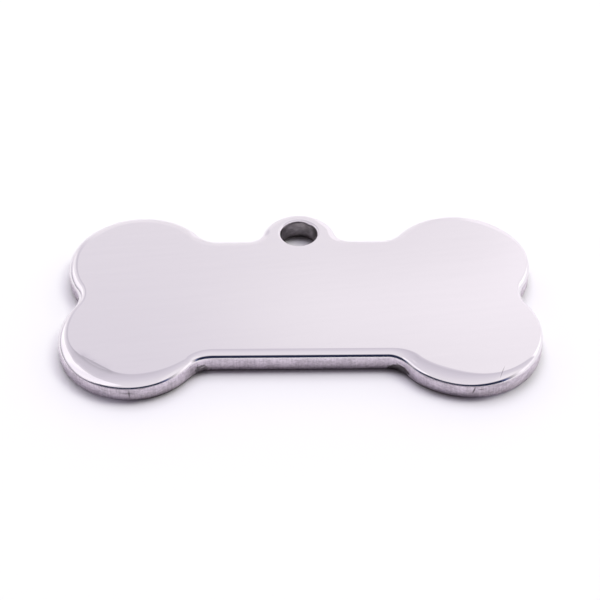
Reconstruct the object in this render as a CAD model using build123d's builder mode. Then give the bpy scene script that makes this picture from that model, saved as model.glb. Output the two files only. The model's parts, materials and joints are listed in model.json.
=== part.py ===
# Bone-shaped pet identity tag, stamped from one plate of stainless steel.
# Sizes are in millimetres. X runs along the bone, Y points to the lug with the ring hole, and the
# back lies on Z = 0. The origin is the middle of the bone.
import os
from math import asin, cos, degrees, radians, sin

from build123d import *

# Bone outline: four round lobes, a straight waist and a notch at each end
tag_length = 40.0
tag_height = 21.1
lobe_radius = 6.2
waist_height = 14.5
waist_corner_radius = 2.25
end_notch_radius = 2.2

# Lug on the middle of the upper edge. Its foot may take up this share of the straight beside it.
lug_radius = 3.3
lug_rise = 0.25
lug_foot_radius = 1.45
lug_foot_room_share = 0.9

# Hole for a split ring, a little nearer the lug's tip than its centre
hole_diameter = 3.2
hole_rise = 0.38
hole_lip_radius = 0.25

# Plate, with the edge of its face rolled over by the stamping die: broad on the lobes, narrow along
# the waist. The face is ground flat after stamping, so the roll starts at a crease and its section
# is less than a quarter of an ellipse: this many degrees of it, from the upright wall.
plate_thickness = 1.85
roll_drop = 0.74
lobe_roll_width = 0.9
waist_roll_width = 0.64
lug_roll_width = 0.6
roll_arc = 80
roll_sections = 7
back_edge_radius = 0.2

lobe_center_x = tag_length / 2 - lobe_radius
lobe_center_y = tag_height / 2 - lobe_radius
lug_center_y = waist_height / 2 + lug_rise
wall_height = plate_thickness - roll_drop


# Bone drawn in by a share of the roll's width: 0 at the wall, 1 at the crease round the face.
# Each arc sets off along the end of the one before it, so the whole edge is smooth.
def bone_outline(roll_share):
    lobe = lobe_radius - lobe_roll_width * roll_share
    notch = end_notch_radius + lobe_roll_width * roll_share
    waist_y = waist_height / 2 - waist_roll_width * roll_share
    corner = waist_corner_radius + waist_roll_width * roll_share
    lug = lug_radius - lug_roll_width * roll_share

    # Slopes of the lines between the centres of neighbouring arcs
    corner_slope = asin((waist_y + corner - lobe_center_y) / (lobe + corner))
    notch_slope = asin(lobe_center_y / (lobe + notch))
    corner_x = lobe_center_x - (lobe + corner) * cos(corner_slope)

    # The fillet at the lug's foot is limited by the straight stretch of waist that it lies on
    rise = lug_center_y - waist_y
    furthest_foot_x = lug + (corner_x - lug) * lug_foot_room_share
    largest_foot = (furthest_foot_x**2 + rise**2 - lug**2) / (2 * (lug + rise))
    foot = min(lug_foot_radius + waist_roll_width * roll_share, largest_foot)
    foot_slope = asin((foot - rise) / (lug + foot))
    foot_x = (lug + foot) * cos(foot_slope)
    foot_turn = 90 - degrees(foot_slope)

    # Radius and turn of each arc, from the waist round one lobe to the middle of the notch
    lobe_half_turn = 90 + degrees(notch_slope - corner_slope) / 2
    quarter = [
        (corner, degrees(corner_slope) - 90),
        (lobe, lobe_half_turn),
        (lobe, lobe_half_turn),
        (notch, -degrees(notch_slope)),
    ]

    with BuildSketch() as outline:
        with BuildLine():
            edge = Line((0, -waist_y), (corner_x, -waist_y))
            for radius, turn in quarter + quarter[::-1]:
                edge = JernArc(edge @ 1, edge % 1, radius, turn)
            edge = Line(edge @ 1, (foot_x, waist_y))
            for radius, turn in [(foot, -foot_turn), (lug, foot_turn)]:
                edge = JernArc(edge @ 1, edge % 1, radius, turn)
            mirror(about=Plane.YZ)
        make_face()
    return outline.sketch


os.makedirs("parts", exist_ok=True)

with BuildPart() as tag_plate:
    # Upright wall, with the back edge tumbled round
    with BuildSketch():
        add(bone_outline(0))
    extrude(amount=wall_height)
    fillet(tag_plate.faces().sort_by(Axis.Z)[0].edges(), radius=back_edge_radius)

    # Rolled edge, from the wall up to the crease round the face
    whole_arc = radians(roll_arc)
    for section in range(roll_sections):
        angle = whole_arc * section / (roll_sections - 1)
        height = wall_height + roll_drop * sin(angle) / sin(whole_arc)
        with BuildSketch(Plane.XY.offset(height)):
            add(bone_outline((1 - cos(angle)) / (1 - cos(whole_arc))))
    loft()

    # Ring hole with rounded lips on both sides
    with Locations((0, lug_center_y + hole_rise, plate_thickness)):
        Hole(hole_diameter / 2)
    fillet(tag_plate.edges(Select.LAST).filter_by(GeomType.CIRCLE), radius=hole_lip_radius)

tag_plate.part.label = "tag_plate"
export_step(tag_plate.part, "parts/tag_plate.step")
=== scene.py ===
import json
from math import asin, atan2, cos, degrees, exp, pi, radians, sin, tau

import bmesh
import bpy
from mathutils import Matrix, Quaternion, Vector


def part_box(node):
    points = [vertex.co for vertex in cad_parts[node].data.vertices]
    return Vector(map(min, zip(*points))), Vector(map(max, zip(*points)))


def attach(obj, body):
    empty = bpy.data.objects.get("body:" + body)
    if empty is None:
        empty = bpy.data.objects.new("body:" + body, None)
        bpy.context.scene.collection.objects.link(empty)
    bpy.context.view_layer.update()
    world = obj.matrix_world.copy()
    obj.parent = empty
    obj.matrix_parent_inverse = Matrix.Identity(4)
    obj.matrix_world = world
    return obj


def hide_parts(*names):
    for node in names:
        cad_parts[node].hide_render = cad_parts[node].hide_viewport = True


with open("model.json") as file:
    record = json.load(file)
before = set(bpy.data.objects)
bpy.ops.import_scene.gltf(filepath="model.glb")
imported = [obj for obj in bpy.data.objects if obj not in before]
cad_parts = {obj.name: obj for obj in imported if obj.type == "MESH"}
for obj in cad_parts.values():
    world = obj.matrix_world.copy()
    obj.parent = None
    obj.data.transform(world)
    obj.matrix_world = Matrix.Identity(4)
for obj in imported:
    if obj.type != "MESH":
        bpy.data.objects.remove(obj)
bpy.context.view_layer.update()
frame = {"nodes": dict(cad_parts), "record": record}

scene = bpy.context.scene
mm = 0.001
print("frame loaded, nodes:", sorted(frame["nodes"]))


# small helpers for the node trees
def addNode(tree, kind, links=None, **settings):
    node = tree.nodes.new(kind)
    for name, value in settings.items():
        setattr(node, name, value)
    for name, value in (links or {}).items():
        if isinstance(value, bpy.types.NodeSocket):
            tree.links.new(value, node.inputs[name])
        else:
            node.inputs[name].default_value = value
    return node


def addMath(tree, operation, first, second=0.0):
    return addNode(tree, "ShaderNodeMath", {0: first, 1: second}, operation=operation).outputs[0]


def addProduct(tree, first, *others):
    for other in others:
        first = addMath(tree, "MULTIPLY", first, other)
    return first


def addSum(tree, first, *others):
    for other in others:
        first = addMath(tree, "ADD", first, other)
    return first


# weighted sum
def addBlend(tree, weights, *values):
    return addSum(tree, *[addProduct(tree, value, weight) for value, weight in zip(values, weights)])


# smooth step between two readings
def addRange(tree, value, lowIn, highIn, lowOut=0.0, highOut=1.0):
    return addNode(tree, "ShaderNodeMapRange",
                   {"Value": value, "From Min": lowIn, "From Max": highIn,
                    "To Min": lowOut, "To Max": highOut},
                   interpolation_type="SMOOTHSTEP").outputs["Result"]


def addMix(tree, share, first, second):
    return addNode(tree, "ShaderNodeMix", {0: share, 2: first, 3: second},
                   data_type="FLOAT").outputs[0]


def addTint(tree, share, first, second):
    return addNode(tree, "ShaderNodeMix", {0: share, 6: first, 7: second},
                   data_type="RGBA").outputs[2]


# how far a place is from the middle of a spot, as a share of its half sizes; turn is about Y and Z
def addSpot(tree, place, centre, size, turn=(0, 0), unit=mm):
    spread = addNode(tree, "ShaderNodeMapping",
                     {"Vector": place, "Location": Vector(centre) * unit, "Scale": Vector(size) * unit,
                      "Rotation": (0, radians(turn[0]), radians(turn[1]))}, vector_type="TEXTURE")
    return addNode(tree, "ShaderNodeVectorMath", {0: spread.outputs[0]},
                   operation="LENGTH").outputs["Value"]


# the tag, in millimetres and degrees; its length, height, thickness and hole come from the frame
tagSet = dict(
    lobeRadius=6.2,
    waistHeight=14.5,
    waistCornerRadius=2.25,
    endNotchRadius=2.2,
    lugRadius=3.3,
    lugRise=0.25,
    lugFootRadius=1.45,
    lugFootRoomShare=0.9,
    lobeRollWidth=0.66,       # rolled edge, from the wall to the crease round the face
    waistRollWidth=0.64,
    rollDrop=0.74,
    rollArc=80,
    rollRings=16,
    creaseWidth=0.035,        # polish takes the sharpness off the crease
    creaseTurn=2.0,
    satinReach=(11, 25),      # the satin of the wall fades out between these degrees of the roll
    # where the face was ground lower the roll reaches further in, by side and by where the edge
    # faces, from the front: side, heading, spread, extra width
    swells=[
        (-1, -15, 35, 0.46),
        (-1, 37, 29, 0.90),
        (-1, -55, 25, -0.20),
        (1, -22, 36, 0.60),
        (1, -55, 22, 0.16),
    ],
    # the same at the two ends, by side: spread, extra width, extra width in the notch
    endSwells={-1: (28, 0.16, 0.05), 1: (45, -0.34, -0.30)},
    endHeading=90,
    # the inner flanks of the front lobes are dressed by hand: side, heading, spread, depth
    flanks=[(-1, -50, 24, 0.12), (1, -50, 20, -0.17)],
    # buffing broadened the roll along the back: extra width, loss on the lug, and the lug's spread
    backSwell=(0.42, 0.6, 3.5),
    backReach=(0.5, 4.5),     # it sets in over this stretch behind the middle
    backFacing=(0.1, 0.8),    # and where this much of the edge's direction is along the back
    backEdgeRadius=0.2,
    backEdgeRings=5,
    holeLipRadius=0.25,
    holeSteps=96,
    lipSteps=8,
    boreReach=0.25,           # share of the lip that is as rough as the bore
    lipBurr=(55, 12, 0.10),   # heading, spread and depth of a small burr on the front lip
    lipBurrReach=(0.8, 1.2),  # and how far it spreads across and down, in lip radii
    straightSteps=10,
    cornerSteps=22,
    lobeSteps=44,
    notchSteps=14,
    footSteps=12,
    lugSteps=28,
    mergeDistance=1e-5,
    levelTolerance=1e-4,
)

# values of the satin attribute: none on the face, full on the wall, and rougher in the hole
faceSatin, wallSatin, boreSatin = 0.0, 1.0, 2.0

low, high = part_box("tag_plate")
tagLength = (high.x - low.x) / mm
tagHeight = -2 * low.y / mm
tagThickness = high.z / mm
ringHole = next(mount for mount in frame["record"]["mounts"] if mount["name"] == "ring_hole")
holeRadius = ringHole["dims"]["r_mm"]
holeCentre = Vector(ringHole["pos_m"]) / mm


def clampShare(value, start, full):
    return min(max((value - start) / (full - start), 0.0), 1.0)


def smoothStep(value, start=0.0, full=1.0):
    share = clampShare(value, start, full)
    return share * share * (3 - 2 * share)


def bell(value, centre, spread):
    return exp(-((value - centre) / spread) ** 2)


# how far the edge is drawn in where it faces this way
def drawnIn(name, side, heading):
    return sum(depth * bell(degrees(heading), centre, spread)
               for at, centre, spread, depth in tagSet[name] if at == side)


# a pen: one vertex drawn along straights and turned round arcs
def penLine(pen, x, steps):
    stride = (x - pen["vert"].co.x) / steps
    for step in range(steps):
        pen["vert"] = bmesh.ops.extrude_vert_indiv(pen["bm"], verts=[pen["vert"]])["verts"][0]
        pen["vert"].co.x += stride


# an inset takes the share of the arc and the heading, and moves the vertices once the ring is drawn
def penArc(pen, radius, turn, steps, inset=None):
    bm = pen["bm"]
    across = Vector((-sin(pen["heading"]), cos(pen["heading"]), 0)) * (1 if turn > 0 else -1)
    known = len(bm.verts)
    made = bmesh.ops.spin(bm, geom=[pen["vert"]], cent=pen["vert"].co + across * radius,
                          axis=(0, 0, 1), angle=turn, steps=steps)
    pen["vert"] = next(item for item in made["geom_last"] if isinstance(item, bmesh.types.BMVert))
    if inset:
        bm.verts.ensure_lookup_table()
        for step, vert in enumerate(bm.verts[known:], 1):
            heading = pen["heading"] + turn * step / steps
            pen["moves"].append((vert, heading, inset(step / steps, heading)))
    pen["heading"] += turn


# half of the bone's outline from the front waist round to the lug's top, drawn in by an inset on
# the lobes and one on the waist, with a share of the roll's extra width
def drawRing(side, lobeIn, waistIn, rollShare, level):
    tag = tagSet
    lobe = tag["lobeRadius"] - lobeIn
    notch = tag["endNotchRadius"] + lobeIn
    waistY = tag["waistHeight"] / 2 - waistIn
    corner = tag["waistCornerRadius"] + waistIn
    lug = tag["lugRadius"] - waistIn
    lobeX = tagLength / 2 - tag["lobeRadius"]
    lobeY = tagHeight / 2 - tag["lobeRadius"]
    lugY = tag["waistHeight"] / 2 + tag["lugRise"]
    cornerSlope = asin((waistY + corner - lobeY) / (lobe + corner))
    notchSlope = asin(lobeY / (lobe + notch))
    cornerX = lobeX - (lobe + corner) * cos(cornerSlope)
    rise = lugY - waistY
    furthest = lug + (cornerX - lug) * tag["lugFootRoomShare"]
    largest = (furthest ** 2 + rise ** 2 - lug ** 2) / (2 * (lug + rise))
    foot = min(tag["lugFootRadius"] + waistIn, largest)
    footSlope = asin((foot - rise) / (lug + foot))
    footX = (lug + foot) * cos(footSlope)
    footTurn = pi / 2 - footSlope
    cornerTurn = cornerSlope - pi / 2
    lobeTurn = pi / 2 + (notchSlope - cornerSlope) / 2
    endSpread, endExtra, notchExtra = tag["endSwells"][side]

    def endInset(heading):
        return endExtra * rollShare * bell(degrees(heading), tag["endHeading"], endSpread)

    def notchInset(share):
        whole = smoothStep(share)
        return endInset(pi / 2 + notchSlope) * (1 - whole) + notchExtra * rollShare * whole

    def frontInset(heading):
        return (drawnIn("swells", side, heading) * rollShare + endInset(heading)
                + drawnIn("flanks", side, heading))

    def cornerInset(share):
        return smoothStep(share) * frontInset(cornerTurn)

    ring = bmesh.new()
    start = bmesh.ops.create_vert(ring, co=(0, -waistY, level))["vert"][0]
    pen = dict(bm=ring, vert=start, heading=0.0, moves=[])
    penLine(pen, cornerX, tag["straightSteps"])
    penArc(pen, corner, cornerTurn, tag["cornerSteps"], lambda share, heading: cornerInset(share))
    for half in range(2):
        penArc(pen, lobe, lobeTurn, tag["lobeSteps"], lambda share, heading: frontInset(heading))
    penArc(pen, notch, -notchSlope, tag["notchSteps"], lambda share, heading: notchInset(share))
    penArc(pen, notch, -notchSlope, tag["notchSteps"], lambda share, heading: notchInset(1 - share))
    for half in range(2):
        penArc(pen, lobe, lobeTurn, tag["lobeSteps"], lambda share, heading: endInset(heading))
    penArc(pen, corner, cornerTurn, tag["cornerSteps"])
    penLine(pen, footX, tag["straightSteps"])
    penArc(pen, foot, -footTurn, tag["footSteps"])
    penArc(pen, lug, footTurn, tag["lugSteps"])
    pen["vert"].co.x = 0

    # the ring's own direction at each vertex tells which of them face the back
    line = ring.verts[:]
    ways = [(after.co - before.co).normalized() for before, after in zip(line, line[2:])]
    extra, lugLoss, lugSpread = tag["backSwell"]
    for vert, way in zip(line, [Vector((1, 0, 0))] + ways + [Vector((-1, 0, 0))]):
        facing = smoothStep(-way.x, *tag["backFacing"])
        setIn = smoothStep(vert.co.y, *tag["backReach"])
        depth = extra * rollShare * facing * setIn * (1 - lugLoss * bell(vert.co.x, 0, lugSpread))
        pen["moves"].append((vert, atan2(way.y, way.x), depth))
    for vert, heading, depth in pen["moves"]:
        vert.co += Vector((-sin(heading), cos(heading), 0)) * depth
    bmesh.ops.scale(ring, vec=(side, 1, 1), verts=ring.verts)
    return ring


# lays a small bmesh into the tag's and gives back its edges
def layIn(bm, part):
    mesh = bpy.data.meshes.new("part")
    part.to_mesh(mesh)
    part.free()
    known = len(bm.edges)
    bm.from_mesh(mesh)
    bpy.data.meshes.remove(mesh)
    bm.edges.ensure_lookup_table()
    return bm.edges[known:]


# wall, edges and margins of one half
def makeHalf(bm, side):
    tag = tagSet
    edge, margin = tag["backEdgeRadius"], tag["creaseWidth"]
    lobeWidth, waistWidth = tag["lobeRollWidth"], tag["waistRollWidth"]
    # each section: lobe inset, waist inset, roll share, height, satin
    sections = [(edge + margin, edge + margin, 0.0, 0.0, faceSatin)]
    for step in range(tag["backEdgeRings"] + 1):
        angle = pi / 2 * step / tag["backEdgeRings"]
        inset = edge * (1 - sin(angle))
        sections.append((inset, inset, 0.0, edge * (1 - cos(angle)), wallSatin * sin(angle)))
    # the roll rises from the wall and meets the face at a crease
    arc = radians(tag["rollArc"])
    angles = [arc * step / tag["rollRings"] for step in range(tag["rollRings"] + 1)]
    angles.insert(-1, arc - radians(tag["creaseTurn"]))
    full, none = tag["satinReach"]
    for angle in angles:
        share = (1 - cos(angle)) / (1 - cos(arc))
        height = tagThickness - tag["rollDrop"] * (1 - sin(angle) / sin(arc))
        satinLevel = wallSatin * clampShare(degrees(angle), none, full)
        sections.append((lobeWidth * share, waistWidth * share, share, height, satinLevel))
    sections.append((lobeWidth + margin, waistWidth + margin, 1.0, tagThickness, faceSatin))
    rings = []
    for lobeIn, waistIn, rollShare, height, satinLevel in sections:
        ring = drawRing(side, lobeIn, waistIn, rollShare, height)
        satin = ring.verts.layers.float.new("satin")
        for vert in ring.verts:
            vert[satin] = satinLevel
        rings.append(layIn(bm, ring))
    return rings


# the hole: its wall and two rounded lips turned about its own axis
def makeHole(bm):
    tag = tagSet
    lip = tag["holeLipRadius"]
    profile = [(holeRadius + lip + tag["creaseWidth"], 0.0)]
    for step in range(tag["lipSteps"] + 1):
        angle = pi / 2 * step / tag["lipSteps"]
        profile.append((holeRadius + lip * (1 - sin(angle)), lip * (1 - cos(angle))))
    profile += [(radius, tagThickness - height) for radius, height in profile[::-1]]
    bore = bmesh.new()
    satin = bore.verts.layers.float.new("satin")
    line = []
    for radius, height in profile:
        point = (holeCentre.x + radius, holeCentre.y, height)
        vert = bmesh.ops.create_vert(bore, co=point)["vert"][0]
        vert[satin] = boreSatin if radius < holeRadius + lip * tag["boreReach"] else faceSatin
        line.append(vert)
    edges = [bore.edges.new(pair) for pair in zip(line, line[1:])]
    bmesh.ops.spin(bore, geom=line + edges, cent=(holeCentre.x, holeCentre.y, 0), axis=(0, 0, 1),
                   angle=tau, steps=tag["holeSteps"], use_merge=True)
    bmesh.ops.remove_doubles(bore, verts=bore.verts, dist=tag["mergeDistance"])
    heading, spread, depth = tag["lipBurr"]
    across, down = tag["lipBurrReach"]
    for vert in bore.verts:
        out = (vert.co - holeCentre) * Vector((1, 1, 0))
        onLip = (bell(out.length, holeRadius, lip * across)
                 * bell(vert.co.z, tagThickness - lip, lip * down))
        around = degrees(atan2(out.y, out.x))
        vert.co -= out.normalized() * depth * onLip * bell(around, heading, spread)
    layIn(bm, bore)


def makeTag():
    bm = bmesh.new()
    for side in (-1, 1):
        rings = makeHalf(bm, side)
        for first, second in zip(rings, rings[1:]):
            bmesh.ops.bridge_loops(bm, edges=first + second)
    makeHole(bm)
    bmesh.ops.remove_doubles(bm, verts=bm.verts, dist=tagSet["mergeDistance"])
    print("tag sides drawn:", len(bm.faces), "faces")
    # back and front faces, between the outline and the hole
    for level in (0.0, tagThickness):
        loops = [edge for edge in bm.edges if edge.is_boundary
                 and abs(edge.verts[0].co.z - level) < tagSet["levelTolerance"]]
        bmesh.ops.triangle_fill(bm, edges=loops, use_beauty=True, normal=(0, 0, 1))
    bmesh.ops.recalc_face_normals(bm, faces=bm.faces)
    bmesh.ops.scale(bm, vec=(mm, mm, mm), verts=bm.verts)
    for face in bm.faces:
        face.smooth = True
    openEdges = sum(1 for edge in bm.edges if not edge.is_manifold)
    mesh = bpy.data.meshes.new("bone_tag")
    bm.to_mesh(mesh)
    print("tag closed:", len(bm.faces), "faces,", openEdges, "open edges, volume mm3",
          round(bm.calc_volume() / mm ** 3, 1))
    bm.free()
    piece = bpy.data.objects.new("bone_tag", mesh)
    scene.collection.objects.link(piece)
    return piece


# polished steel with faint buffing lines and pits, and a satin wall where the die sheared it;
# lengths and heights of bumps in millimetres, turns in degrees
steelSet = dict(
    # dark and light of the face, the wall, the hole and torn metal
    faceTints=((0.823, 0.793, 0.819, 1), (0.837, 0.807, 0.831, 1)),
    wallTints=((0.47, 0.418, 0.465, 1), (0.785, 0.71, 0.78, 1)),
    boreTints=((0.26, 0.24, 0.25, 1), (0.50, 0.46, 0.475, 1)),
    tornTints=((0.09, 0.08, 0.083, 1), (0.24, 0.22, 0.23, 1)),
    faceRoughness=(0.065, 0.095),
    wallRoughness=(0.41, 0.31),
    boreRoughness=0.42,
    tornRoughness=0.5,
    # noise on the face, and how its tint, roughness and height take it
    fineBuff=dict(size=(3.6, 0.10, 3.6), turn=9),
    broadBuff=dict(size=(10.0, 0.5, 10.0), turn=7),
    cloud=dict(size=(7.0, 4.0, 7.0), turn=20),
    buffBlend=(0.5, 0.5),                              # fine, broad
    buffRange=(0.25, 0.75),
    fineRange=(0.2, 0.8),
    faceHeights=(0.00003, 0.0001, 0.006, -0.003),      # fine, broad, cloud, pits
    pitSpacing=1.5,
    pitRadius=0.04,
    pitFloor=0.4,                                      # share of the radius
    pitCells=(0.7, 0.9),
    pitRoughness=0.2,
    # the face falls away before the crease of one lobe, between two radii of the lobe
    dub=dict(centre=(-16.9, -8.2, 1.85), reach=(2.1, 2.1, 2.1), edge=(1.0, 0.5),
             lobeCentre=(-13.8, -4.35, 1.85), radii=(4.0, 4.85), depth=0.024),
    # noise on the wall and in the hole
    shear=dict(size=(0.10, 0.10, 1.6), turn=0, detail=3.0),
    grain=dict(size=(0.26, 0.26, 0.20), turn=0, detail=4.0),
    smear=dict(size=(1.7, 1.7, 0.7), turn=0, detail=4.0),
    wornBlend=(0.22, 0.36, 0.42),                      # shear, grain, smear
    wornRange=(0.34, 0.64),
    blotchBlend=(0.7, 0.3),                            # smear, grain
    blotchRange=(0.36, 0.62),
    wallHeight=0.003,
    # metal torn in the inner corners: centre, reach, share
    torn=[
        ((8.05, -7.5, 0.30), (1.2, 1.1, 0.74), 1.0),
        ((-8.10, -7.5, 0.42), (0.66, 0.7, 0.54), 0.75),
    ],
    tornRagged=(1.0, 0.9, 0.5),                        # spot, smear, grain
    tornEdge=(1.62, 1.42),
    tornHeight=0.03,
    # handling marks and scars, and a pale stripe on the torn lip that is partly its bare metal and
    # partly a painted highlight: centre, half sizes, turn about Y and Z, share, tint
    markDark=(0.05, 0.04, 0.045, 1),
    # pale tint of the torn lip, partly a painted highlight
    paleLipHighlight=(0.80, 0.73, 0.76, 1),
    markEdge=(1.0, 0.2),
    marks=[
        ((-13.74, -10.55, 0.80), (0.10, 0.4, 0.62), (0, 0), 0.72, "markDark"),
        ((-13.95, -10.55, 0.88), (0.80, 0.4, 0.17), (0, 0), 0.48, "markDark"),
        ((13.72, -10.55, 0.92), (0.10, 0.4, 0.52), (14, 0), 0.85, "markDark"),
        ((14.30, -10.5, 1.00), (0.42, 0.4, 0.08), (0, 0), 0.55, "markDark"),
        ((16.05, -9.35, 1.80), (0.85, 0.05, 0.5), (0, 67), 0.42, "markDark"),
        ((-16.75, -7.75, 1.85), (0.26, 0.03, 0.3), (0, 10), 0.22, "markDark"),
        ((-8.42, -7.66, 0.75), (0.09, 0.4, 0.45), (0, 0), 0.45, "markDark"),
        ((-8.02, -7.45, 0.56), (0.34, 0.4, 0.08), (-15, 0), 0.70, "paleLipHighlight"),
    ],
)


# soft noise
def addPattern(tree, place, size, turn, detail=2.0, roughness=0.55):
    spread = addNode(tree, "ShaderNodeMapping",
                     {"Vector": place, "Rotation": (0, 0, radians(turn)), "Scale": Vector(size) * mm},
                     vector_type="TEXTURE")
    return addNode(tree, "ShaderNodeTexNoise",
                   {"Vector": spread.outputs[0], "Scale": 1.0, "Detail": detail,
                    "Roughness": roughness}).outputs["Fac"]


# pits in some of the cells only
def addPits(tree, place):
    steel = steelSet
    cells = addNode(tree, "ShaderNodeTexVoronoi",
                    {"Vector": place, "Scale": 1 / (steel["pitSpacing"] * mm)}).outputs
    chance = addNode(tree, "ShaderNodeSeparateColor", {0: cells["Color"]}).outputs["Red"]
    reach = steel["pitRadius"] / steel["pitSpacing"]
    return addProduct(tree, addRange(tree, cells["Distance"], reach, reach * steel["pitFloor"]),
                      addRange(tree, chance, *steel["pitCells"]))


# how far the face has fallen away on the dubbed lobe
def addDub(tree, place):
    dub = steelSet["dub"]
    inner, outer = dub["radii"]
    outward = addSpot(tree, place, dub["lobeCentre"], (outer - inner,) * 3)
    outward = addMath(tree, "SUBTRACT", outward, inner / (outer - inner))
    outward = addMath(tree, "MINIMUM", addMath(tree, "MAXIMUM", outward, 0.0), 1.0)
    near = addRange(tree, addSpot(tree, place, dub["centre"], dub["reach"]), *dub["edge"])
    return addProduct(tree, outward, outward, near, dub["depth"])


def makeSteel():
    steel = steelSet
    material = bpy.data.materials.new("polished_steel")
    material.use_nodes = True
    tree = material.node_tree
    shader = tree.nodes["Principled BSDF"]
    shader.inputs["Metallic"].default_value = 1.0
    place = addNode(tree, "ShaderNodeTexCoord").outputs["Object"]
    satin = addNode(tree, "ShaderNodeAttribute", attribute_name="satin").outputs["Fac"]
    wall = addRange(tree, satin, faceSatin, wallSatin)
    bore = addRange(tree, satin, wallSatin, boreSatin)

    fine, broad, cloud, shear, grain, smear = [
        addPattern(tree, place, **steel[name])
        for name in ("fineBuff", "broadBuff", "cloud", "shear", "grain", "smear")]
    pits = addPits(tree, place)
    buff = addRange(tree, addBlend(tree, steel["buffBlend"], fine, broad), *steel["buffRange"])
    worn = addRange(tree, addBlend(tree, steel["wornBlend"], shear, grain, smear), *steel["wornRange"])
    blotch = addRange(tree, addBlend(tree, steel["blotchBlend"], smear, grain), *steel["blotchRange"])

    # torn patches have a ragged edge
    torn = 0.0
    for centre, size, share in steel["torn"]:
        ragged = addBlend(tree, steel["tornRagged"], addSpot(tree, place, centre, size), smear, grain)
        patch = addRange(tree, ragged, *steel["tornEdge"], 0.0, share)
        torn = addMath(tree, "MAXIMUM", torn, patch)
    torn = addProduct(tree, torn, wall)

    faceTint = addTint(tree, buff, *steel["faceTints"])
    wallTint = addTint(tree, worn, *steel["wallTints"])
    boreTint = addTint(tree, blotch, *steel["boreTints"])
    tornTint = addTint(tree, worn, *steel["tornTints"])
    tint = addTint(tree, torn, addTint(tree, wall, faceTint, wallTint), tornTint)
    tint = addTint(tree, bore, tint, boreTint)
    # marks, one of them the painted highlight on the torn lip
    for centre, size, turn, share, name in steel["marks"]:
        spot = addSpot(tree, place, centre, size, turn)
        tint = addTint(tree, addRange(tree, spot, *steel["markEdge"], 0.0, share), tint, steel[name])
    tree.links.new(tint, shader.inputs["Base Color"])

    faceRough = addRange(tree, fine, *steel["fineRange"], *steel["faceRoughness"])
    wallRough = addRange(tree, worn, 0.0, 1.0, *steel["wallRoughness"])
    rough = addMix(tree, wall, faceRough, wallRough)
    rough = addMix(tree, torn, rough, steel["tornRoughness"])
    rough = addMix(tree, bore, rough, steel["boreRoughness"])
    rough = addSum(tree, rough, addProduct(tree, pits, steel["pitRoughness"]))
    tree.links.new(rough, shader.inputs["Roughness"])

    faceHeight = addBlend(tree, steel["faceHeights"], fine, broad, cloud, pits)
    faceHeight = addMath(tree, "SUBTRACT", faceHeight, addDub(tree, place))
    wallHeight = addSum(tree, addProduct(tree, worn, steel["wallHeight"]),
                        addProduct(tree, torn, grain, steel["tornHeight"]))
    height = addMix(tree, wall, faceHeight, wallHeight)
    bump = addNode(tree, "ShaderNodeBump", {"Strength": 1.0, "Distance": mm, "Height": height})
    tree.links.new(bump.outputs["Normal"], shader.inputs["Normal"])
    return material


tagPiece = makeTag()
tagPiece.data.materials.append(makeSteel())
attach(tagPiece, "root")
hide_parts("tag_plate")
print("steel set")

# white table, with a painted contact shadow darkening it in the narrow gap at the tag's foot
tableSet = dict(
    width=6.0,
    colour=(0.95, 0.95, 0.95, 1),
    roughness=0.9,
    gapShadowColour=(0.15, 0.125, 0.115, 1),
    gapReach=1.0,             # millimetres
    gapSamples=8,
    gapShares=(0.20, 0.55),   # how open the gap is where it is darkest and where it ends
    gapEnds=(11.5, 16.0),     # millimetres from the middle, where it fades out towards the ends
    gapFacing=(0, 0.8, 0.6),  # most of the light comes from behind
)


def makeTable():
    bm = bmesh.new()
    bmesh.ops.create_grid(bm, x_segments=1, y_segments=1, size=tableSet["width"] / 2)
    mesh = bpy.data.meshes.new("table")
    bm.to_mesh(mesh)
    bm.free()
    table = bpy.data.objects.new("table", mesh)
    scene.collection.objects.link(table)
    material = bpy.data.materials.new("white_table")
    material.use_nodes = True
    tree = material.node_tree
    shader = tree.nodes["Principled BSDF"]
    facing = addNode(tree, "ShaderNodeCombineXYZ", dict(enumerate(tableSet["gapFacing"]))).outputs[0]
    clear = addNode(tree, "ShaderNodeAmbientOcclusion",
                    {"Distance": tableSet["gapReach"] * mm, "Normal": facing},
                    samples=tableSet["gapSamples"]).outputs["AO"]
    place = addNode(tree, "ShaderNodeTexCoord").outputs["Object"]
    along = addNode(tree, "ShaderNodeSeparateXYZ", {0: place}).outputs["X"]
    first, last = tableSet["gapEnds"]
    ends = addRange(tree, addMath(tree, "ABSOLUTE", along), first * mm, last * mm)
    share = addMath(tree, "MAXIMUM", addRange(tree, clear, *tableSet["gapShares"]), ends)
    # painted contact shadow: the table's colour goes to the shadow colour where ambient occlusion finds
    # the tag close, fading out towards the ends
    tint = addTint(tree, share, tableSet["gapShadowColour"], tableSet["colour"])
    tree.links.new(tint, shader.inputs["Base Color"])
    shader.inputs["Roughness"].default_value = tableSet["roughness"]
    shader.inputs["Specular IOR Level"].default_value = 0.0
    table.data.materials.append(material)


makeTable()

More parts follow.
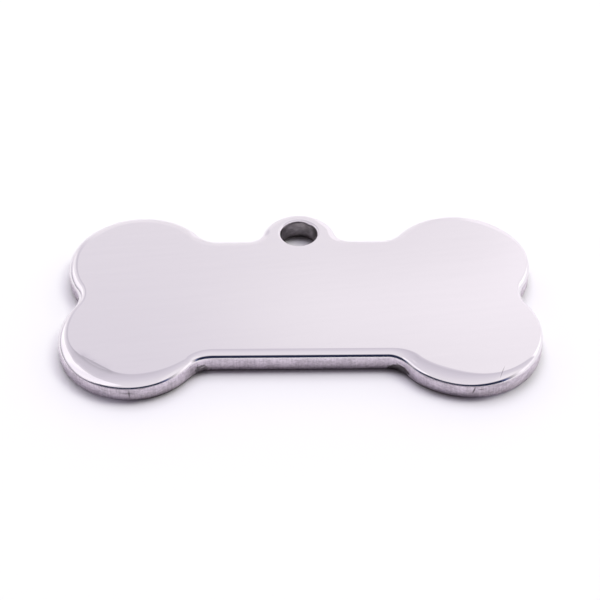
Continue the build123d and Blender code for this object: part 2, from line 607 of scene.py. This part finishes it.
# studio that the metal mirrors. Each pair is where something starts and where it is full, along
# the x, y or z of the direction to it or along its own way; levels are brightness.
roomSet = dict(
    darkTint=(1.0, 0.952, 1.06, 1),
    paleTint=(1.0, 0.966, 1.015, 1),
    tintLevels=(0.72, 1.0),
    # plain walls, from front to back: y, level
    bands=[
        (-0.6, 0.93), (-0.25, 0.88), (0.0, 0.82), (0.15, 0.785),
        (0.3, 0.74), (0.45, 0.70), (0.6, 0.732),
    ],
    # back wall on the left half
    halves=(-0.115, 0.047),
    backWall=(0.45, 0.964),
    backLevel=1.0,
    # window on the right half: haze at its left end, mist on its upper part, glare at its right end
    windowEdge=(0.375, 0.795),
    windowLean=0.632,
    windowFoot=(0.455, 0.525),
    windowFootLean=0.34,
    windowReach=(0.05, 0.20),
    windowLevels=(1.061, 1.125),
    hazeEdge=(0.716, 0.756),
    hazeEnd=(0.193, 0.133),
    hazeLevel=-0.103,
    mistEdge=(0.736, 0.691),
    mistLevel=-0.087,
    glareEdge=(0.70, 0.88),
    glareTop=(0.86, 0.74),
    glareLevel=0.35,
    # two dim patches on the back wall and a pale stretch at the far left
    duskAt=(-0.23, 0.55, 0),
    duskSize=(0.15, 0.15, 1),
    duskEdge=(1.0, 0.0),
    duskDepth=0.16,
    shadeAt=(-0.34, 0.75, 0),
    shadeSize=(0.30, 0.16, 1),
    shadeTurn=121,
    shadeEdge=(1.0, 0.3),
    shadeDepth=0.16,
    sheenEdge=(-0.42, -0.56),
    sheenFoot=(0.05, 0.25),
    sheenBase=(0.05, 0.40),
    sheenLevel=0.20,
    # paler front right with a low glow, and a dim low left
    sideEdge=(0.35, 0.62),
    sideBack=(0.0, -0.35),
    sideLevel=0.13,
    glowWay=(1, -0.55, -0.87),
    glowEdge=(0.54, 0.95),
    glowLevel=1.26,
    sillWay=(-0.95, -0.3, 0),
    sillTop=(0.45, 0.10),
    sillEdge=(0.3, 0.8),
    sillLevel=-0.26,
    # dark card in front, lower at its ends
    cardTop=(0.62, 0.50),
    cardDrop=0.10,
    cardEnds=(0.3, 0.85),
    cardEdge=(0.05, 0.65),
    cardLean=0.18,
    cardLevel=0.035,
    cardTint=(0.75, 0.9, 1.9, 1),
    cardTintEdge=(0.6, 1.0),
    # soft light on the table, and how it grows towards the back, the right and both sides
    fill=1.10,
    fillBack=0.95,
    fillRight=0.2,
    fillSides=0.3,
    fillFront=(1.0, 0.89, 1.17, 1),
    fillRear=(1.0, 1.04, 0.91, 1),
    fillTurn=(-0.2, 0.4),
)


# how far a direction points one way
def addWay(tree, place, way):
    return addNode(tree, "ShaderNodeVectorMath", {0: place, 1: way},
                   operation="DOT_PRODUCT").outputs["Value"]


# levels in bands across a reading from -1 to 1
def addBands(tree, value, bands):
    along = addNode(tree, "ShaderNodeMapRange", {"Value": value, "From Min": -1.0, "From Max": 1.0})
    ramp = addNode(tree, "ShaderNodeValToRGB", {"Fac": along.outputs["Result"]})
    ramp.color_ramp.interpolation = "EASE"
    elements = ramp.color_ramp.elements
    stops = [(reading + 1) / 2 for reading, level in bands]
    elements[0].position, elements[1].position = stops[0], stops[-1]
    for stop in stops[1:-1]:
        elements.new(stop)
    for element, (reading, level) in zip(elements, bands):
        element.color = (level, level, level, 1)
    return ramp.outputs["Color"]


def makeRoom():
    room = roomSet
    world = bpy.data.worlds.new("studio")
    scene.world = world
    world.use_nodes = True
    tree = world.node_tree
    place = addNode(tree, "ShaderNodeTexCoord").outputs["Generated"]
    x, y, z = addNode(tree, "ShaderNodeSeparateXYZ", {0: place}).outputs
    walls = addBands(tree, y, room["bands"])

    # pale wall behind at the left, window behind at the right
    backWall = addMix(tree, addRange(tree, y, *room["backWall"]), walls, room["backLevel"])
    haze = addProduct(tree, addRange(tree, y, *room["hazeEdge"]), addRange(tree, x, *room["hazeEnd"]))
    glare = addProduct(tree, addRange(tree, x, *room["glareEdge"]), addRange(tree, y, *room["glareTop"]))
    mist = addRange(tree, y, *room["mistEdge"])
    levels = (room["hazeLevel"], room["glareLevel"], room["mistLevel"])
    glass = addSum(tree, addRange(tree, x, *room["windowReach"], *room["windowLevels"]),
                   addBlend(tree, levels, haze, glare, mist))
    edge = addWay(tree, place, (room["windowLean"], 1, 0))
    foot = addWay(tree, place, (room["windowFootLean"], 1, 0))
    inside = addMath(tree, "MINIMUM", addRange(tree, edge, *room["windowEdge"]),
                     addRange(tree, foot, *room["windowFoot"]))
    window = addMix(tree, inside, walls, glass)
    level = addMix(tree, addRange(tree, x, *room["halves"]), backWall, window)

    # dim patches and the pale stretch
    plan = addNode(tree, "ShaderNodeVectorMath", {0: place, 1: (1, 1, 0)},
                   operation="MULTIPLY").outputs["Vector"]
    dusk = addSpot(tree, plan, room["duskAt"], room["duskSize"], unit=1)
    shade = addSpot(tree, plan, room["shadeAt"], room["shadeSize"], (0, room["shadeTurn"]), unit=1)
    dusk = addRange(tree, dusk, *room["duskEdge"], 0.0, room["duskDepth"])
    shade = addRange(tree, shade, *room["shadeEdge"], 0.0, room["shadeDepth"])
    level = addMath(tree, "SUBTRACT", addMath(tree, "SUBTRACT", level, dusk), shade)
    sheen = addProduct(tree, addRange(tree, x, *room["sheenEdge"]),
                       addRange(tree, y, *room["sheenFoot"]), addRange(tree, z, *room["sheenBase"]))

    # paler right side with a low glow, and a dim low left
    side = addProduct(tree, addRange(tree, x, *room["sideEdge"]), addRange(tree, y, *room["sideBack"]))
    sill = addProduct(tree, addRange(tree, addWay(tree, place, room["sillWay"]), *room["sillEdge"]),
                      addRange(tree, z, *room["sillTop"]))
    levels = (room["sheenLevel"], room["sideLevel"], room["sillLevel"])
    level = addSum(tree, level, addBlend(tree, levels, sheen, side, sill))
    glow = addRange(tree, addWay(tree, place, room["glowWay"]), *room["glowEdge"])
    level = addMix(tree, glow, level, room["glowLevel"])
    tint = addTint(tree, addRange(tree, level, *room["tintLevels"]), room["darkTint"], room["paleTint"])

    # dark card in front
    ahead = addWay(tree, place, (-room["cardLean"], -1, 0))
    above = addSum(tree, z, addRange(tree, ahead, *room["cardEnds"], room["cardDrop"], 0.0))
    card = addProduct(tree, addRange(tree, above, *room["cardTop"]),
                      addRange(tree, ahead, *room["cardEdge"]))
    level = addMix(tree, card, level, room["cardLevel"])
    tint = addTint(tree, addRange(tree, card, *room["cardTintEdge"]), tint, room["cardTint"])

    # the table has soft light all round, weaker from straight above
    slope = addWay(tree, place, (room["fillRight"], room["fillBack"], 0))
    fill = addProduct(tree, addSum(tree, slope, 1.0, addProduct(tree, x, x, room["fillSides"])),
                      addMath(tree, "SUBTRACT", 1.0, z), room["fill"])
    fillTint = addTint(tree, addRange(tree, y, *room["fillTurn"]), room["fillFront"], room["fillRear"])

    # the metal mirrors the room, unless the table scattered the light first, and the camera sees white
    path = addNode(tree, "ShaderNodeLightPath").outputs
    mirrored = addMath(tree, "MAXIMUM", path["Is Glossy Ray"], path["Is Transmission Ray"])
    mirrored = addProduct(tree, mirrored, addMath(tree, "LESS_THAN", path["Diffuse Depth"], 0.5))
    level = addMix(tree, mirrored, fill, level)
    tint = addTint(tree, mirrored, fillTint, tint)
    level = addMix(tree, path["Is Camera Ray"], level, 1.0)
    tint = addTint(tree, path["Is Camera Ray"], tint, (1, 1, 1, 1))
    back = tree.nodes["Background"]
    tree.links.new(tint, back.inputs["Color"])
    tree.links.new(level, back.inputs["Strength"])


makeRoom()

# key box above and behind and a weaker one at the right, both aimed at the tag; level is what
# each alone gives a white surface there
keySet = dict(place=(0.0, 0.64, 1.25), size=1.0, level=0.60, tint=(1.0, 0.945, 1.09))
sideSet = dict(place=(0.80, 0.42, 1.25), size=0.5, level=0.19, tint=(1.0, 1.03, 0.91))

# strip box close by at the left, which shows in the metal alone; level is its brightness there
stripSet = dict(
    place=(-0.0545, -0.0021, 0.0292),
    facing=(0.378, -0.162, -0.911),
    roll=45.8,
    size=(0.090, 0.033),
    level=0.30,
    tint=(1.0, 0.98, 1.01),
)


def makeLamp(name, place, facing, roll, size, energy, tint):
    light = bpy.data.lights.new(name, "AREA")
    light.shape = "RECTANGLE"
    light.size, light.size_y = size
    light.color = tint
    light.energy = energy
    lamp = bpy.data.objects.new(name, light)
    lamp.location = place
    lamp.rotation_mode = "QUATERNION"
    lamp.rotation_quaternion = facing.to_track_quat("-Z", "Y") @ Quaternion((0, 0, 1), radians(roll))
    lamp.visible_camera = False
    scene.collection.objects.link(lamp)
    return lamp


def makeLamps():
    for name, box in (("key_box", keySet), ("side_box", sideSet)):
        place, size = Vector(box["place"]), box["size"]
        energy = box["level"] * pi ** 2 * place.length ** 3 / place.z
        lamp = makeLamp(name, place, -place, 0, (size, size), energy, box["tint"])
        lamp.visible_glossy = False
    length, width = stripSet["size"]
    energy = stripSet["level"] * pi * length * width
    strip = makeLamp("strip_box", Vector(stripSet["place"]), Vector(stripSet["facing"]),
                     stripSet["roll"], (length, width), energy, stripSet["tint"])
    strip.visible_diffuse = False


makeLamps()

# camera at the photograph's view: degrees, then millimetres, then metres for the clip range
viewSet = dict(
    elevation=43.063,
    azimuth=-0.988,
    roll=0.269,
    distance=121.459,
    aimUp=0.776,
    lens=85.3,
    sensor=36,
    clip=(0.01, 20),
)


def makeCamera():
    data = bpy.data.cameras.new("camera")
    data.sensor_width = viewSet["sensor"]
    data.lens = viewSet["lens"]
    data.clip_start, data.clip_end = viewSet["clip"]
    camera = bpy.data.objects.new("camera", data)
    up, aside = radians(viewSet["elevation"]), radians(viewSet["azimuth"])
    back = Vector((sin(aside) * cos(up), -cos(aside) * cos(up), sin(up)))
    turn = (-back).to_track_quat("-Z", "Y") @ Quaternion((0, 0, 1), radians(viewSet["roll"]))
    camera.rotation_mode = "QUATERNION"
    camera.rotation_quaternion = turn
    camera.location = (back * viewSet["distance"] + turn @ Vector((0, viewSet["aimUp"], 0))) * mm
    scene.collection.objects.link(camera)
    scene.camera = camera


makeCamera()
scene.view_settings.view_transform = "Standard"
print("studio set")
